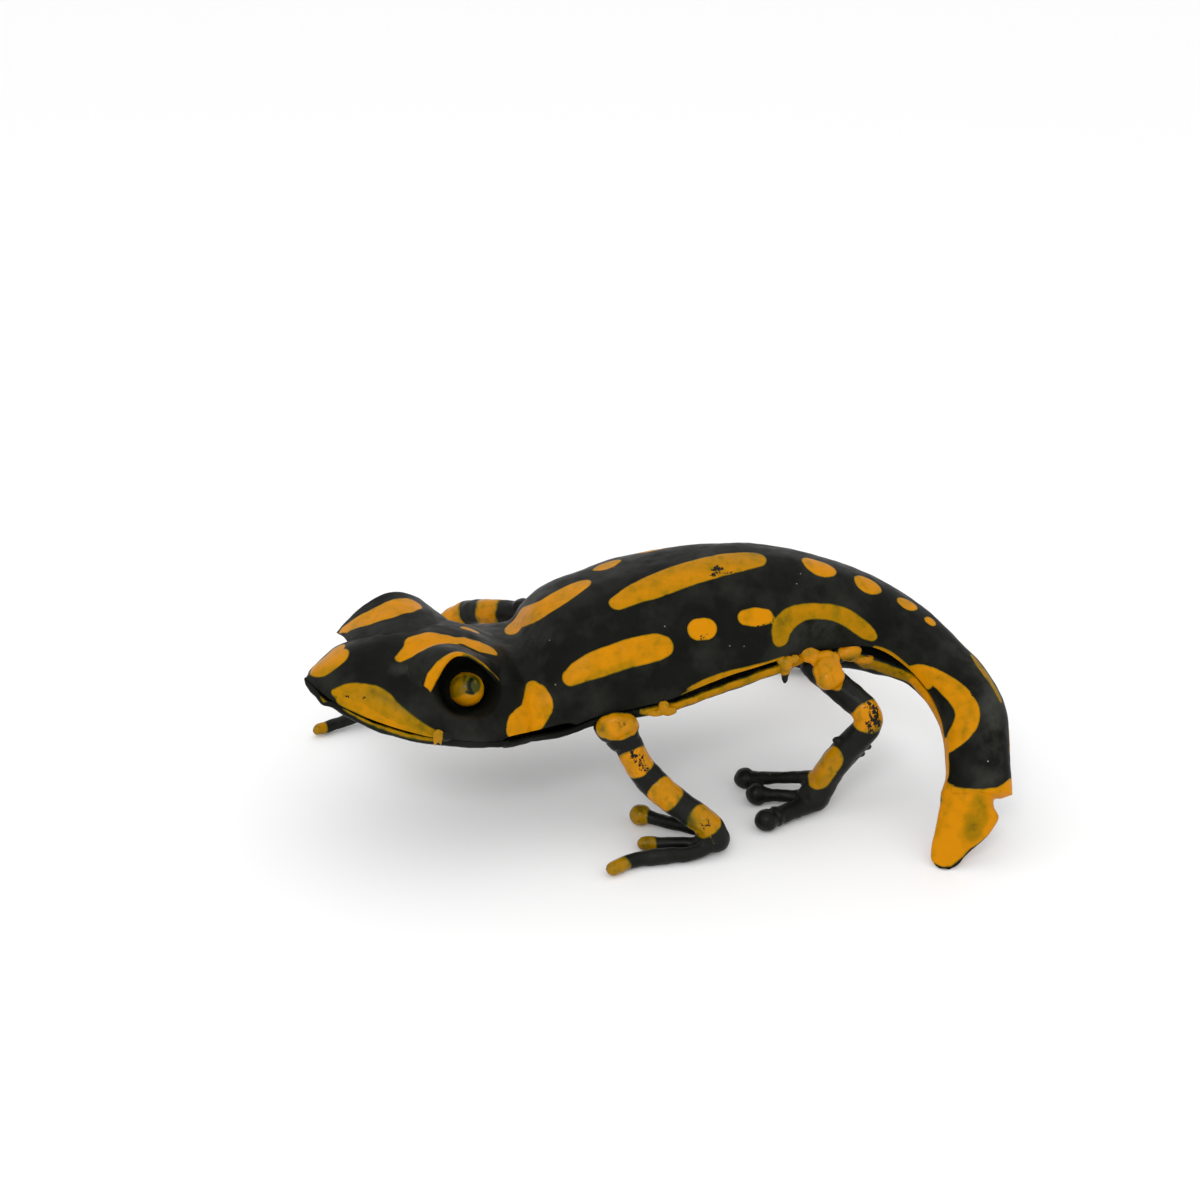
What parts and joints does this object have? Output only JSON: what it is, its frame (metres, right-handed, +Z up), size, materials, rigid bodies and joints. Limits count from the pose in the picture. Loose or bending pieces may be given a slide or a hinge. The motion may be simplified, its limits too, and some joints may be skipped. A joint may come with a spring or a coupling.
{
  "type": "painted sheet-metal salamander figure",
  "caption": "Hand-made steel salamander figure in a walking pose: hollow hammered body, bent bar legs, nail toes, ball eyes under bent hoods, black paint with yellow markings.",
  "frame": {"origin": "on the floor, at the middle of the figure's bounding box", "axes": "+Z up, the figure faces -Y, its left side is +X"},
  "size_m": [0.1343, 0.1894, 0.0707],
  "materials": {
    "body_paint": "satin black enamel with yellow-orange markings",
    "pan_paint": "satin black enamel, yellow along the seam",
    "eye_paint": "satin yellow enamel with a black pupil",
    "bar_paint": "satin black enamel with yellow bands",
    "toe_paint": "satin black enamel, yellow tips on the front feet",
    "weld_paint": "glossy yellow enamel over lumpy weld metal"
  },
  "bodies": {
    "root": {"head_shell": "body_paint", "trunk_shell": "body_paint", "tail_shell": "body_paint", "tail_leaf": "body_paint", "jaw_pan": "pan_paint", "belly_pan": "pan_paint", "tail_pan": "pan_paint", "eye_left": "eye_paint", "eye_hood_left": "body_paint", "eye_right": "eye_paint", "eye_hood_right": "body_paint", "leg_front_left": "bar_paint", "toe_front_left_1": "toe_paint", "toe_front_left_2": "toe_paint", "toe_front_left_3": "toe_paint", "leg_front_right": "bar_paint", "toe_front_right_1": "toe_paint", "toe_front_right_2": "toe_paint", "toe_front_right_3": "toe_paint", "leg_hind_left": "bar_paint", "toe_hind_left_1": "toe_paint", "toe_hind_left_2": "toe_paint", "toe_hind_left_3": "toe_paint", "leg_hind_right": "bar_paint", "toe_hind_right_1": "toe_paint", "toe_hind_right_2": "toe_paint", "toe_hind_right_3": "toe_paint", "weld_shoulder_left": "weld_paint", "weld_shoulder_right": "weld_paint", "weld_hip_left": "weld_paint", "weld_hip_right": "weld_paint", "seam_weld_left_1": "weld_paint", "seam_weld_left_2": "weld_paint", "seam_weld_left_3": "weld_paint", "seam_weld_right_1": "weld_paint", "seam_weld_right_2": "weld_paint", "seam_weld_right_3": "weld_paint"}
  },
  "joints": []
}
